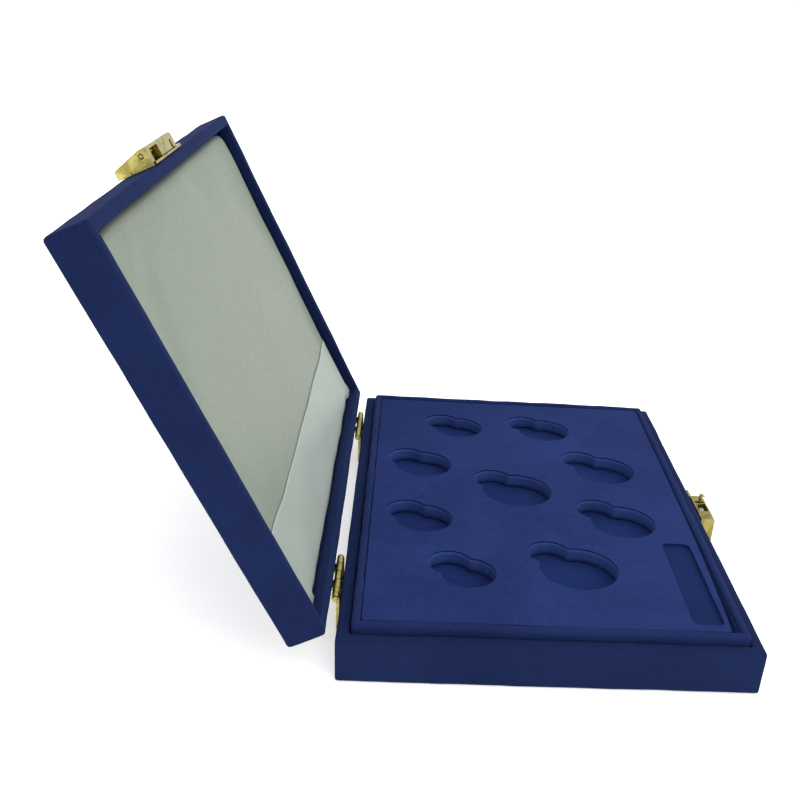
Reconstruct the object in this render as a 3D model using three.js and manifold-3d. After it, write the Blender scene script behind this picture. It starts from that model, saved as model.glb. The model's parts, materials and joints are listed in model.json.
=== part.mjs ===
// Hinged coin presentation case: a shallow velvet-covered base with a recessed coin insert,
// and a lid with a padded lining, joined by two butt hinges and closed by a push-button clasp.
// Millimetres. +X is the clasp side, -X the hinge side, +Z is up. The origin is the middle of
// the underside. Every lid piece is drawn with the case closed, then the lid is swung open.
import * as THREE from 'three';
import { mergeVertices } from 'three/addons/utils/BufferGeometryUtils.js';
import Module from 'manifold-3d';

const wasm = await Module();
wasm.setup();

// ---- driving dimensions ----
const CASE_WIDTH = 130;
const CASE_LENGTH = 190;
const BASE_HEIGHT = 15;
const LID_HEIGHT = 12.6;
const SEAM = 0.6; // between the two rims when the case is closed
const LID_OPEN_DEG = 116; // how far the lid is open at rest
const WALL = 4; // a finished wall: board and velvet together
const VELVET = 0.6;
const FIT = 0.3; // gap between pieces that touch
const CORNER_RADIUS = 1.5; // upright corners of the case

const HALF_X = CASE_WIDTH / 2;
const HALF_Y = CASE_LENGTH / 2;
const INNER_X = HALF_X - WALL;
const INNER_Y = HALF_Y - WALL;

const BOTTOM_BOARD = 2;
const BASE_WALL_BOARD = 2.8;
const BASE_FLOOR = VELVET + FIT + BOTTOM_BOARD; // top of the bottom board

const COLLAR_PROUD = 3.1; // height of the collar above the base rim
const COLLAR_WIDTH = 2.8;
const COLLAR_VELVET = 0.5;
const COLLAR_TOP = BASE_HEIGHT + COLLAR_PROUD;

const INSERT_TOP = COLLAR_TOP - 0.4;
const INSERT_PANEL = 5.2;
const INSERT_FLOOR_BOARD = 2;
const INSERT_EDGE = { hinge: 0.5, clasp: 1.3, near: 0.5, far: 1.3 }; // gaps to the collar
const NOTCH_RADIUS = 7.4; // finger notch, a fingertip wide

// Coin recesses: centre, radius, and the finger notch's offset from the centre.
const COIN_RECESSES = [
  { x: -24.4, y: 58.8, radius: 10.0, notch: [-6.5, 5.4] },
  { x: 12.5, y: 60.0, radius: 10.8, notch: [-8.2, 6.5] },
  { x: -39.3, y: 21.4, radius: 11.0, notch: [-6.4, 6.2] },
  { x: 33.0, y: 22.8, radius: 11.8, notch: [-8.8, 9.2] },
  { x: -3.7, y: 2.0, radius: 13.1, notch: [-8.8, 9.1] },
  { x: -39.0, y: -23.0, radius: 10.0, notch: [-6.0, 6.0] },
  { x: 33.2, y: -20.0, radius: 11.7, notch: [-8.6, 9.3] },
  { x: -24.6, y: -58.8, radius: 9.1, notch: [-5.9, 6.2] },
  { x: 12.4, y: -53.6, radius: 13.2, notch: [-8.8, 10.0] },
];
const PLAQUE_RECESS = { x0: 44.2, x1: 54.0, y0: -84.4, y1: -34.4, depth: 1.2, radius: 2 };

const LID_RIM = BASE_HEIGHT + SEAM;
const LID_TOP = LID_RIM + LID_HEIGHT;
const LID_TOP_BOARD = 2;
const LID_INNER_SKIN = 0.6; // velvet turned in over the rim
const LINING_DEPTH = 3.5; // lining face below the lid's rim
const LINING_PAD = 1.6;
const LINING_CARD = 1;
const POCKET_EDGE_X = -34; // open edge of the document pocket
const POCKET_BAND = 0.4;

const HINGE_X = -HALF_X - 1.5;
const HINGE_Z = BASE_HEIGHT + SEAM / 2;
const HINGE_Y = 61; // distance of each hinge from the middle
const HINGE = {
  length: 25,
  thickness: 0.9,
  reach: 11, // from the axis to the leaf's free edge
  barrel: 1.2,
  bore: 0.7,
  pin: 0.5,
  head: 0.95,
  knuckles: 5,
  screwPitch: 14,
};

const CLASP_FACE = HALF_X + FIT; // the clasp's mounting face
const CLASP_SHEET = 0.9;
const CLASP_PLATE = 0.7;
const LID_CLASP = { y0: -24, y1: 9, front: 70.9, bottom: LID_RIM + 0.3, top: LID_TOP - 0.3 };
const LID_CLASP_MOUTH = { y0: -20.6, y1: -11, x0: 66.3 }; // open part of the rim side
const BASE_CATCH = { y0: -9.5, y1: 9.5, front: 70.5 };
const CLASP_EAR = 6.5; // flange past the far end of each half
const CROSS_PIN = { x: 69, z: LID_RIM + 2.6, radius: 0.6, bore: 0.85 };
const CROSS_PIN_END = LID_CLASP_MOUTH.y1 + 1.4;
const HOOK = { y0: 4, y1: 4.7, x0: 67.4, x1: 68.4, nose: 69.6, top: LID_RIM + 2.6 };
const HOOK_SLOT = { y0: 3.6, y1: 5.1, x0: 66.1, x1: 69 }; // through the lid half's flange

const SCREW = { head: 1.5, headHeight: 0.8, shank: 0.7, length: 3.9, slotWidth: 0.35, slotDepth: 0.3 };
const ROUND = 14; // sides of a small cylinder
const RECESS_SIDES = 44;

// ---- materials ----
const material = (color, roughness, metalness = 0) =>
  new THREE.MeshStandardMaterial({ color, roughness, metalness });
const velvet = () => material(0x27356b, 0.95);
const board = () => material(0x8f8a80, 0.9);
const foam = () => material(0x3a3a3c, 1.0);
const satin = () => material(0xa6ada4, 0.55);
const pocketSatin = () => material(0xc4cacb, 0.5);
const brass = () => material(0xc8bc6a, 0.3, 0.9);
const steel = () => material(0x9a9a98, 0.35, 0.9);

// ---- solids ----
function solid(geometry) {
  const plain = geometry.clone();
  plain.deleteAttribute('normal');
  plain.deleteAttribute('uv');
  const merged = mergeVertices(plain, 1e-5);
  return new wasm.Manifold(
    new wasm.Mesh({
      numProp: 3,
      vertProperties: new Float32Array(merged.attributes.position.array),
      triVerts: new Uint32Array(merged.index.array),
    }),
  );
}

function mesh(name, body, look) {
  const raw = body.getMesh();
  const geometry = new THREE.BufferGeometry();
  geometry.setAttribute('position', new THREE.BufferAttribute(raw.vertProperties, 3));
  geometry.setIndex(new THREE.BufferAttribute(raw.triVerts, 1));
  geometry.computeVertexNormals();
  const piece = new THREE.Mesh(geometry, look);
  piece.name = name;
  return piece;
}

function box(x0, x1, y0, y1, z0, z1) {
  const geometry = new THREE.BoxGeometry(x1 - x0, y1 - y0, z1 - z0);
  return solid(geometry.translate((x0 + x1) / 2, (y0 + y1) / 2, (z0 + z1) / 2));
}

// An upright block with rounded corners, between two heights.
function roundedBox(x0, x1, y0, y1, z0, z1, radius, segments = 4) {
  const shape = new THREE.Shape();
  shape.moveTo(x0 + radius, y0);
  shape.lineTo(x1 - radius, y0);
  shape.absarc(x1 - radius, y0 + radius, radius, -Math.PI / 2, 0);
  shape.lineTo(x1, y1 - radius);
  shape.absarc(x1 - radius, y1 - radius, radius, 0, Math.PI / 2);
  shape.lineTo(x0 + radius, y1);
  shape.absarc(x0 + radius, y1 - radius, radius, Math.PI / 2, Math.PI);
  shape.lineTo(x0, y0 + radius);
  shape.absarc(x0 + radius, y0 + radius, radius, Math.PI, 1.5 * Math.PI);
  const options = { depth: z1 - z0, bevelEnabled: false, curveSegments: segments };
  return solid(new THREE.ExtrudeGeometry(shape, options).translate(0, 0, z0));
}

// A block about the middle of the case, given by its half sizes.
function centredBlock(halfX, halfY, z0, z1, radius) {
  return roundedBox(-halfX, halfX, -halfY, halfY, z0, z1, radius);
}

// A profile of [x, z] points drawn out along Y.
function prismAlongY(points, y0, y1) {
  const shape = new THREE.Shape(points.map(([x, z]) => new THREE.Vector2(x, z)));
  const geometry = new THREE.ExtrudeGeometry(shape, { depth: y1 - y0, bevelEnabled: false });
  return solid(geometry.rotateX(Math.PI / 2).translate(0, y1, 0));
}

function rodAlongY(x, z, radius, y0, y1, sides = ROUND) {
  const geometry = new THREE.CylinderGeometry(radius, radius, y1 - y0, sides);
  return solid(geometry.translate(x, (y0 + y1) / 2, z));
}

function disc(x, y, radius, z0, z1, sides) {
  const geometry = new THREE.CylinderGeometry(radius, radius, z1 - z0, sides);
  return solid(geometry.rotateX(Math.PI / 2).translate(x, y, (z0 + z1) / 2));
}

// ---- screws ----
// A countersunk wood screw whose head faces out along X, on either side of the case.
function screwBody(face, y, z, side, grow) {
  const profile = [
    [0, -SCREW.length - grow],
    [SCREW.shank + grow, -SCREW.length + 0.5],
    [SCREW.shank + grow, -SCREW.headHeight],
    [SCREW.head + grow, 0],
    [SCREW.head + grow, grow + 0.01],
    [0, grow + 0.01],
  ].map(([r, h]) => new THREE.Vector2(r, h));
  const geometry = new THREE.LatheGeometry(profile, 12);
  return solid(geometry.rotateZ((-side * Math.PI) / 2).translate(face, y, z));
}

function screw(name, face, y, z, side) {
  const depth = SCREW.slotDepth;
  const slot = box(face - depth, face + depth, y - SCREW.head, y + SCREW.head,
    z - SCREW.slotWidth / 2, z + SCREW.slotWidth / 2);
  return mesh(name, screwBody(face, y, z, side, 0).subtract(slot), steelOrBrass(name));
}

function steelOrBrass(name) {
  return name.startsWith('hinge') ? steel() : brass();
}

const screwHole = ({ face, y, z, side }) => screwBody(face, y, z, side, FIT);

function drill(body, places) {
  return places.reduce((rest, place) => rest.subtract(screwHole(place)), body);
}

const HINGE_SIDE = -1;
const CLASP_SIDE = 1;
const leafFace = HINGE_X + HINGE.barrel - HINGE.thickness;
const leafScrewRise = (HINGE.reach + HINGE.barrel) / 2;

function leafScrews(hingeY, up) {
  return [-1, 1].map((end) => ({
    face: leafFace,
    y: hingeY + (end * HINGE.screwPitch) / 2,
    z: HINGE_Z + up * leafScrewRise,
    side: HINGE_SIDE,
  }));
}

const HINGES = [
  { name: 'near', y: -HINGE_Y },
  { name: 'far', y: HINGE_Y },
];
const baseLeafScrews = HINGES.flatMap(({ y }) => leafScrews(y, -1));
const lidLeafScrews = HINGES.flatMap(({ y }) => leafScrews(y, 1));
const lidClaspScrews = [
  { face: CLASP_FACE + CLASP_SHEET, y: LID_CLASP.y1 + 3.6, z: LID_RIM + 6, side: CLASP_SIDE },
  { face: CLASP_FACE + CLASP_SHEET, y: -2, z: LID_RIM + 7.4, side: CLASP_SIDE },
];
const catchScrews = [
  { face: CLASP_FACE + CLASP_SHEET, y: BASE_CATCH.y1 + 3.6, z: 8.2, side: CLASP_SIDE },
  { face: CLASP_FACE + CLASP_SHEET, y: -6.4, z: 6, side: CLASP_SIDE },
];

// ---- walls ----
// Four boards inside a rectangle: two run the whole length and two stand between them.
function wallBoards(prefix, halfX, halfY, thickness, z0, z1, holes, look) {
  const sides = {
    hinge: [-halfX, -halfX + thickness, -halfY, halfY],
    clasp: [halfX - thickness, halfX, -halfY, halfY],
    near: [-halfX + thickness + FIT, halfX - thickness - FIT, -halfY, -halfY + thickness],
    far: [-halfX + thickness + FIT, halfX - thickness - FIT, halfY - thickness, halfY],
  };
  return Object.entries(sides).map(([side, [x0, x1, y0, y1]]) =>
    mesh(`${prefix}_${side}`, drill(box(x0, x1, y0, y1, z0, z1), holes[side] ?? []), look()));
}

// ---- base ----
function baseShell() {
  const group = new THREE.Group();
  const bottom = VELVET + FIT;
  const outer = centredBlock(HALF_X, HALF_Y, bottom, BASE_HEIGHT, CORNER_RADIUS);
  const hollow = centredBlock(HALF_X - VELVET, HALF_Y - VELVET, 0, BASE_HEIGHT - VELVET,
    CORNER_RADIUS - VELVET);
  const mouth = centredBlock(INNER_X, INNER_Y, 0, BASE_HEIGHT + 1, 0.4);
  const cover = drill(outer.subtract(hollow).subtract(mouth), [...baseLeafScrews, ...catchScrews]);
  group.add(mesh('base_velvet_cover', cover, velvet()));

  group.add(mesh('base_underside_sheet', centredBlock(HALF_X, HALF_Y, 0, VELVET, CORNER_RADIUS),
    velvet()));

  const boardX = HALF_X - VELVET - FIT;
  const boardY = HALF_Y - VELVET - FIT;
  const boards = wallBoards('base_wall', boardX, boardY, BASE_WALL_BOARD, bottom,
    BASE_HEIGHT - VELVET - FIT, { hinge: baseLeafScrews, clasp: catchScrews }, board);
  group.add(...boards);
  const insideX = boardX - BASE_WALL_BOARD - FIT;
  const insideY = boardY - BASE_WALL_BOARD - FIT;
  group.add(mesh('base_bottom_board',
    box(-insideX, insideX, -insideY, insideY, bottom, BASE_FLOOR), board()));
  return group;
}

function collar() {
  const group = new THREE.Group();
  const outX = INNER_X - FIT;
  const outY = INNER_Y - FIT;
  const bottom = BASE_FLOOR + FIT;
  const ring = (inset, width, z0, z1, radius) =>
    centredBlock(outX - inset, outY - inset, z0, z1, radius)
      .subtract(centredBlock(outX - inset - width, outY - inset - width, z0 - 1, z1 + 1, 0.4));
  const channel = ring(COLLAR_VELVET, COLLAR_WIDTH - 2 * COLLAR_VELVET, bottom - 1,
    COLLAR_TOP - COLLAR_VELVET, 0.6);
  const cover = ring(0, COLLAR_WIDTH, bottom, COLLAR_TOP, 1).subtract(channel);
  group.add(mesh('collar_velvet_cover', cover, velvet()));
  const boardThickness = COLLAR_WIDTH - 2 * COLLAR_VELVET - 2 * FIT;
  const inset = COLLAR_VELVET + FIT;
  group.add(...wallBoards('collar_board', outX - inset, outY - inset, boardThickness, bottom,
    COLLAR_TOP - COLLAR_VELVET - FIT, {}, board));
  return group;
}

function insert() {
  const group = new THREE.Group();
  const insideX = INNER_X - FIT - COLLAR_WIDTH;
  const insideY = INNER_Y - FIT - COLLAR_WIDTH;
  const x0 = -insideX + INSERT_EDGE.hinge;
  const x1 = insideX - INSERT_EDGE.clasp;
  const y0 = -insideY + INSERT_EDGE.near;
  const y1 = insideY - INSERT_EDGE.far;
  const panelBottom = INSERT_TOP - INSERT_PANEL;
  let panel = roundedBox(x0, x1, y0, y1, panelBottom, INSERT_TOP, 1);
  for (const recess of COIN_RECESSES) {
    const coin = disc(recess.x, recess.y, recess.radius, panelBottom - 1, INSERT_TOP + 1,
      RECESS_SIDES);
    const notch = disc(recess.x + recess.notch[0], recess.y + recess.notch[1], NOTCH_RADIUS,
      panelBottom - 1, INSERT_TOP + 1, RECESS_SIDES);
    panel = panel.subtract(coin.add(notch));
  }
  const { x0: px0, x1: px1, y0: py0, y1: py1, depth, radius } = PLAQUE_RECESS;
  panel = panel.subtract(roundedBox(px0, px1, py0, py1, INSERT_TOP - depth, INSERT_TOP + 1, radius));
  group.add(mesh('insert_panel', panel, velvet()));

  const floorTop = panelBottom - FIT;
  const floorBottom = floorTop - INSERT_FLOOR_BOARD;
  group.add(mesh('insert_floor_board', roundedBox(x0, x1, y0, y1, floorBottom, floorTop, 1),
    velvet()));
  group.add(mesh('insert_foam_spacer',
    box(x0, x1, y0, y1, BASE_FLOOR + FIT, floorBottom - FIT), foam()));
  return group;
}

// ---- hinges ----
// One leaf: a plate and every second knuckle. up is 1 for the lid's leaf, -1 for the base's.
function hingeLeaf(hingeY, up) {
  const { length, barrel, thickness, reach, knuckles, bore } = HINGE;
  const clear = barrel + 0.4; // plate edge beside the other leaf's knuckles
  const zRange = (a, b) => [HINGE_Z + Math.min(up * a, up * b), HINGE_Z + Math.max(up * a, up * b)];
  const inner = HINGE_X + barrel;
  let leaf = box(inner - thickness, inner, hingeY - length / 2, hingeY + length / 2,
    ...zRange(clear, reach));
  const pitch = length / knuckles;
  for (let i = up > 0 ? 1 : 0; i < knuckles; i += 2) {
    const y0 = hingeY - length / 2 + i * pitch + FIT / 2;
    const y1 = y0 + pitch - FIT;
    leaf = leaf.add(box(inner - thickness, inner, y0, y1, ...zRange(0, clear + 0.2)));
    leaf = leaf.add(rodAlongY(HINGE_X, HINGE_Z, barrel, y0, y1, 20));
  }
  return leaf.subtract(rodAlongY(HINGE_X, HINGE_Z, bore, hingeY - length, hingeY + length, 16));
}

function hingePin(hingeY) {
  const half = HINGE.length / 2;
  const rod = rodAlongY(HINGE_X, HINGE_Z, HINGE.pin, hingeY - half - 0.6, hingeY + half + 0.6, 16);
  const head = (end) => {
    const [a, b] = [half + FIT - 0.1, half + 0.7].map((d) => hingeY + end * d);
    return rodAlongY(HINGE_X, HINGE_Z, HINGE.head, Math.min(a, b), Math.max(a, b), 16);
  };
  return rod.add(head(-1)).add(head(1));
}

function numberedScrews(prefix, places) {
  return places.map(({ face, y, z, side }, i) => screw(`${prefix}_${i + 1}`, face, y, z, side));
}

function hingeParts(up) {
  const group = new THREE.Group();
  const leafName = up > 0 ? 'lid_leaf' : 'base_leaf';
  for (const { name, y } of HINGES) {
    const screws = leafScrews(y, up);
    group.add(mesh(`hinge_${name}_${leafName}`, drill(hingeLeaf(y, up), screws), brass()));
    if (up < 0) group.add(mesh(`hinge_${name}_pin`, hingePin(y), brass()));
    group.add(...numberedScrews(`hinge_${name}_${leafName}_screw`, screws));
  }
  return group;
}

// ---- lid ----
function lidShell() {
  const group = new THREE.Group();
  const outer = centredBlock(HALF_X, HALF_Y, LID_RIM, LID_TOP, CORNER_RADIUS);
  const hollow = centredBlock(HALF_X - VELVET, HALF_Y - VELVET, LID_RIM + VELVET, LID_TOP - VELVET,
    CORNER_RADIUS - VELVET);
  const mouth = centredBlock(INNER_X, INNER_Y, LID_RIM - 1, LID_RIM + VELVET + 1, 0.4);
  const liningFace = LID_RIM + LINING_DEPTH;
  const padTop = liningFace + LINING_PAD;
  const skinTop = padTop + FIT;
  const skin = centredBlock(INNER_X + LID_INNER_SKIN, INNER_Y + LID_INNER_SKIN, LID_RIM + 0.1,
    skinTop, 0.4).subtract(centredBlock(INNER_X, INNER_Y, LID_RIM - 1, skinTop + 1, 0.4));
  const cover = drill(outer.subtract(hollow).subtract(mouth).add(skin),
    [...lidLeafScrews, ...lidClaspScrews]);
  group.add(mesh('lid_velvet_cover', cover, velvet()));

  const boardX = HALF_X - VELVET - FIT;
  const boardY = HALF_Y - VELVET - FIT;
  const boardThickness = boardX - INNER_X - LID_INNER_SKIN - FIT;
  const boards = wallBoards('lid_wall', boardX, boardY, boardThickness, LID_RIM + VELVET + FIT,
    LID_TOP - VELVET - FIT, { hinge: lidLeafScrews, clasp: lidClaspScrews }, board);
  group.add(...boards);

  const topX = boardX - boardThickness - FIT;
  const topY = boardY - boardThickness - FIT;
  const topBoardTop = LID_TOP - VELVET - FIT;
  const topBoardBottom = topBoardTop - LID_TOP_BOARD;
  group.add(mesh('lid_top_board', box(-topX, topX, -topY, topY, topBoardBottom, topBoardTop),
    board()));

  const padX = INNER_X - 0.6;
  const padY = INNER_Y - 0.6;
  const cardBottom = padTop + FIT;
  const cardTop = cardBottom + LINING_CARD;
  const card = centredBlock(padX, padY, cardBottom, cardTop, 1);
  group.add(mesh('lid_lining_card', card, board()));
  group.add(mesh('lid_lining_foam',
    centredBlock(padX, padY, cardTop + FIT, topBoardBottom - FIT, 1), foam()));
  group.add(mesh('lid_lining_pad', centredBlock(padX, padY, liningFace, padTop, 5), satin()));
  const bandTop = liningFace - FIT;
  group.add(mesh('lid_pocket_band',
    roundedBox(-padX, POCKET_EDGE_X, -padY + 0.5, padY - 0.5, bandTop - POCKET_BAND, bandTop, 0.3),
    pocketSatin()));
  return group;
}

// ---- clasp, lid half ----
function claspHousing() {
  const { y0, y1, front, bottom, top } = LID_CLASP;
  const outline = [[CLASP_FACE, bottom], [front - 0.5, bottom], [front, bottom + 0.5],
    [front, bottom + 2.6], [68.3, top - 0.6], [67.7, top], [CLASP_FACE, top]];
  const floor = bottom + 0.8;
  const inside = [[CLASP_FACE - 1, floor], [front - 0.9, floor], [front - 0.9, bottom + 2.5],
    [67.5, top - 0.9], [CLASP_FACE - 1, top - 0.9]];
  const mouth = box(LID_CLASP_MOUTH.x0, front - 0.9, LID_CLASP_MOUTH.y0, LID_CLASP_MOUTH.y1,
    bottom - 1, floor + 0.5);
  const cheekCorner = prismAlongY([[CLASP_FACE - 1, bottom - 1], [67.9, bottom - 1], [67.9, bottom],
    [66.3, top - 4.5], [CLASP_FACE - 1, top - 4.5]], y0 - 1, y0 + CLASP_SHEET / 2);
  const partition = prismAlongY(inside, LID_CLASP_MOUTH.y1, LID_CLASP_MOUTH.y1 + CLASP_SHEET)
    .subtract(box(CLASP_FACE - 2, LID_CLASP_MOUTH.x0, y0, y1, bottom - 1, top + 1));
  const mouthBack = prismAlongY(inside, y0, LID_CLASP_MOUTH.y1)
    .subtract(box(CLASP_FACE - 2, LID_CLASP_MOUTH.x0, y0 - 1, y1, bottom - 1, top + 1))
    .subtract(box(CLASP_FACE - 2, front + 1, y0 - 1, y1, bottom - 1, bottom + 4.4))
    .subtract(box(CLASP_FACE - 2, front + 1, y0 - 1, y1, bottom + 4.4 + CLASP_SHEET, top + 1));
  const hookSlot = box(HOOK_SLOT.x0, HOOK_SLOT.x1, HOOK_SLOT.y0, HOOK_SLOT.y1, bottom - 1,
    floor + 0.5);
  const plateGap = box(CLASP_FACE - 1, CLASP_FACE + CLASP_PLATE + FIT, y0 + CLASP_SHEET,
    y1 - CLASP_SHEET, bottom - 1, bottom + 2);
  const ear = box(CLASP_FACE, CLASP_FACE + CLASP_SHEET, y1 - 0.2, y1 + CLASP_EAR, bottom + 0.3,
    top - 1.6);
  return prismAlongY(outline, y0, y1)
    .subtract(prismAlongY(inside, y0 + CLASP_SHEET, y1 - CLASP_SHEET))
    .add(partition)
    .add(mouthBack)
    .subtract(cheekCorner)
    .subtract(mouth)
    .subtract(hookSlot)
    .subtract(plateGap)
    .subtract(rodAlongY(CROSS_PIN.x, CROSS_PIN.z, CROSS_PIN.bore, y0 - 1, CROSS_PIN_END + 1))
    .add(ear);
}

function lidClasp() {
  const group = new THREE.Group();
  const { y0, y1, bottom, top } = LID_CLASP;
  group.add(mesh('clasp_housing', drill(claspHousing(), [lidClaspScrews[0]]), brass()));
  const plate = box(CLASP_FACE, CLASP_FACE + CLASP_PLATE, LID_CLASP_MOUTH.y0,
    y1 - CLASP_SHEET - FIT, bottom, top - 1.2);
  group.add(mesh('clasp_mounting_plate', drill(plate, [lidClaspScrews[1]]), brass()));
  const pin = rodAlongY(CROSS_PIN.x, CROSS_PIN.z, CROSS_PIN.radius, y0 - 0.25, CROSS_PIN_END);
  group.add(mesh('clasp_cross_pin', pin, brass()));
  group.add(...numberedScrews('clasp_screw', lidClaspScrews));
  return group;
}

// ---- clasp, base half ----
const CATCH_TOP = BASE_HEIGHT - 0.3;
const BUTTON_PLATE = { x0: 68.8, x1: 69.4 }; // behind the housing's front, moved by the button
const CATCH_SPRING = { y: 0, z: CATCH_TOP - 3.5, radius: 2.3, wire: 0.25, x0: 66.15, x1: 68.65, turns: 3 };

class CoilPath extends THREE.Curve {
  getPoint(t) {
    const { y, z, radius, wire, x0, x1, turns } = CATCH_SPRING;
    const angle = t * turns * 2 * Math.PI;
    const x = x0 + wire + t * (x1 - x0 - 2 * wire);
    return new THREE.Vector3(x, y + radius * Math.cos(angle), z + radius * Math.sin(angle));
  }
}

function catchSpring() {
  const section = new THREE.Shape().absarc(0, 0, CATCH_SPRING.wire, 0, 2 * Math.PI);
  const options = { steps: 48, extrudePath: new CoilPath(), curveSegments: 6 };
  return solid(new THREE.ExtrudeGeometry(section, options));
}

function catchHousing() {
  const { y0, y1, front } = BASE_CATCH;
  const outline = [[CLASP_FACE, CATCH_TOP], [CLASP_FACE, 1.9], [67.4, 1.9], [front, 5.2],
    [front, CATCH_TOP - 0.4], [front - 0.4, CATCH_TOP]];
  const ceiling = CATCH_TOP - CLASP_SHEET;
  const inside = [[CLASP_FACE - 1, ceiling], [CLASP_FACE - 1, 2.8], [67, 2.8], [69.6, 5.6],
    [69.6, ceiling]];
  const window = box(66.4, 69.6, -3, 3, ceiling - 1, CATCH_TOP + 1);
  const hookSlot = box(66, 69.6, HOOK.y0 - 0.4, HOOK.y1 + 0.4, ceiling - 1, CATCH_TOP + 1);
  const buttonHole = box(69, 71, -4, 4, 5.6, 9.4);
  const ear = box(CLASP_FACE, CLASP_FACE + CLASP_SHEET, y1 - 0.2, y1 + CLASP_EAR, 3,
    CATCH_TOP - 0.8);
  return prismAlongY(outline, y0, y1)
    .subtract(prismAlongY(inside, y0 + CLASP_SHEET, y1 - CLASP_SHEET))
    .subtract(window)
    .subtract(hookSlot)
    .subtract(buttonHole)
    .add(ear);
}

// The button outside, the plate the spring pushes on, and the hook that holds the lid, in one.
function catchButton() {
  const { x0, x1 } = BUTTON_PLATE;
  const block = prismAlongY([[x0, 6], [71.5, 6], [71.9, 6.5], [71.9, 8.5], [71.5, 9], [x0, 9]],
    -3.6, 3.6);
  const hook = [[HOOK.x0, 5.8], [HOOK.x1 + 0.7, 5.8], [HOOK.x1 + 0.7, 12.2], [HOOK.x1, 13],
    [HOOK.x1, HOOK.top - 1.1], [HOOK.nose, HOOK.top - 1.1], [HOOK.nose, HOOK.top - 0.9],
    [HOOK.x1, HOOK.top], [HOOK.x0, HOOK.top]];
  return block
    .add(box(x0, x1, -3.6, 6, 5.8, 13.3))
    .add(prismAlongY(hook, HOOK.y0, HOOK.y1));
}

function baseCatch() {
  const group = new THREE.Group();
  group.add(mesh('catch_housing', drill(catchHousing(), [catchScrews[0]]), brass()));
  const plateY = BASE_CATCH.y1 - CLASP_SHEET - FIT;
  const plate = box(CLASP_FACE, CLASP_FACE + CLASP_PLATE, -plateY, plateY, 3.2, 12.9);
  group.add(mesh('catch_mounting_plate', drill(plate, [catchScrews[1]]), brass()));
  group.add(mesh('catch_button', catchButton(), brass()));
  group.add(mesh('catch_spring', catchSpring(), steel()));
  group.add(...numberedScrews('catch_screw', catchScrews));
  return group;
}

// ---- assembly ----
const base = new THREE.Group();
base.add(baseShell(), collar(), insert(), hingeParts(-1), baseCatch());

const closedLid = new THREE.Group();
closedLid.position.set(-HINGE_X, 0, -HINGE_Z);
closedLid.add(lidShell(), hingeParts(1), lidClasp());
const lid = new THREE.Group();
lid.position.set(HINGE_X, 0, HINGE_Z);
lid.rotation.y = -THREE.MathUtils.degToRad(LID_OPEN_DEG);
lid.add(closedLid);

const coinCase = new THREE.Group();
coinCase.add(base, lid);

export default coinCase;
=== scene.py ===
"""The looks of the coin presentation case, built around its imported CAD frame.

Shapes are drawn in millimetres with the case closed. Pieces of the lid are then swung open with it.
"""

import json
import math

import bmesh
import bpy
from mathutils import Matrix, Vector, geometry, noise
from mathutils.bvhtree import BVHTree

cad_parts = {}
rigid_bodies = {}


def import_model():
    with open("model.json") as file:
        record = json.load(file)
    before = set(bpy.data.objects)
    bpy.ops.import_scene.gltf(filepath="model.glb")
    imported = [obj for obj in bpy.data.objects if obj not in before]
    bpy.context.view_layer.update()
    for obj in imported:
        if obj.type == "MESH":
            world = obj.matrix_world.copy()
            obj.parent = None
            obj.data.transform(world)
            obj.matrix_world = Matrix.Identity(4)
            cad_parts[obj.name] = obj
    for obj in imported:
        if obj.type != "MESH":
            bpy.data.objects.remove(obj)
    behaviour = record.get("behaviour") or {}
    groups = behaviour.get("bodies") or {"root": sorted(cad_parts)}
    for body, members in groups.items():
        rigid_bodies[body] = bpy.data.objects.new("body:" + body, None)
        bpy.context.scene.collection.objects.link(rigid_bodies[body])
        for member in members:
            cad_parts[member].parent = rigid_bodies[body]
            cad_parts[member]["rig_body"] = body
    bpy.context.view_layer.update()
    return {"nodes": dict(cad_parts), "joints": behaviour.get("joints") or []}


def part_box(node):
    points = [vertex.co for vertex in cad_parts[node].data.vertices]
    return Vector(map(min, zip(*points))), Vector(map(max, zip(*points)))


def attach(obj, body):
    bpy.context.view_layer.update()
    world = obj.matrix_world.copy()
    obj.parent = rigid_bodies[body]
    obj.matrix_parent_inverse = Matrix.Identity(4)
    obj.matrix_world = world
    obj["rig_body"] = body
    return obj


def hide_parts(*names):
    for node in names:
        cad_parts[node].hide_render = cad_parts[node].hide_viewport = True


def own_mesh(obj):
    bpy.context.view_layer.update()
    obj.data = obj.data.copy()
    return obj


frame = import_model()
NODES = frame["nodes"]

# ---- dimensions, in millimetres ----
MM = 0.001
HALF_X, HALF_Y = 65.0, 95.0
CORNER = 1.2  # radius of the case's upright corners
LID_RIM = 15.6
LID_TOP = 28.2
COLLAR_X, COLLAR_Y, COLLAR_BOTTOM = 60.7, 90.7, 5.0
COLLAR_WIDTH = 2.8
PANEL_TOP, PANEL_BOTTOM = 17.7, 12.26
PANEL = (-57.8, -87.8, 86.9)  # hinge edge x, near edge y, far edge y
PANEL_CLASP_EDGE = (55.4, 57.65)  # the cut board is narrower at its near end: near, far
NOTCH_RADIUS = 7.4
COIN_RECESSES = [  # centre, radius, finger notch offset
    (-24.4, 58.8, 10.0, -6.5, 5.4),
    (12.5, 60.0, 10.8, -8.2, 6.5),
    (-39.3, 21.4, 11.0, -6.4, 6.2),
    (33.0, 22.8, 11.8, -8.8, 9.2),
    (-3.7, 2.0, 13.1, -8.8, 9.1),
    (-39.0, -23.0, 10.0, -6.0, 6.0),
    (33.2, -20.0, 11.7, -8.6, 9.3),
    (-24.6, -58.8, 9.1, -5.9, 6.2),
    (12.4, -53.6, 13.2, -8.8, 10.0),
]
PLAQUE = (44.2, 54.0, -84.4, -34.4, 16.5)  # x, x, y, y, floor height
LINING_FACE, LINING_BACK = 19.1, 20.75
LINING_X, LINING_Y = 60.5, 90.5
LINING_FALL = 3.2  # width of the rounded border
LINING_SWELL = 0.5  # the most the padding stands proud
LINING_SINK = 0.2  # the most it sinks
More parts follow.
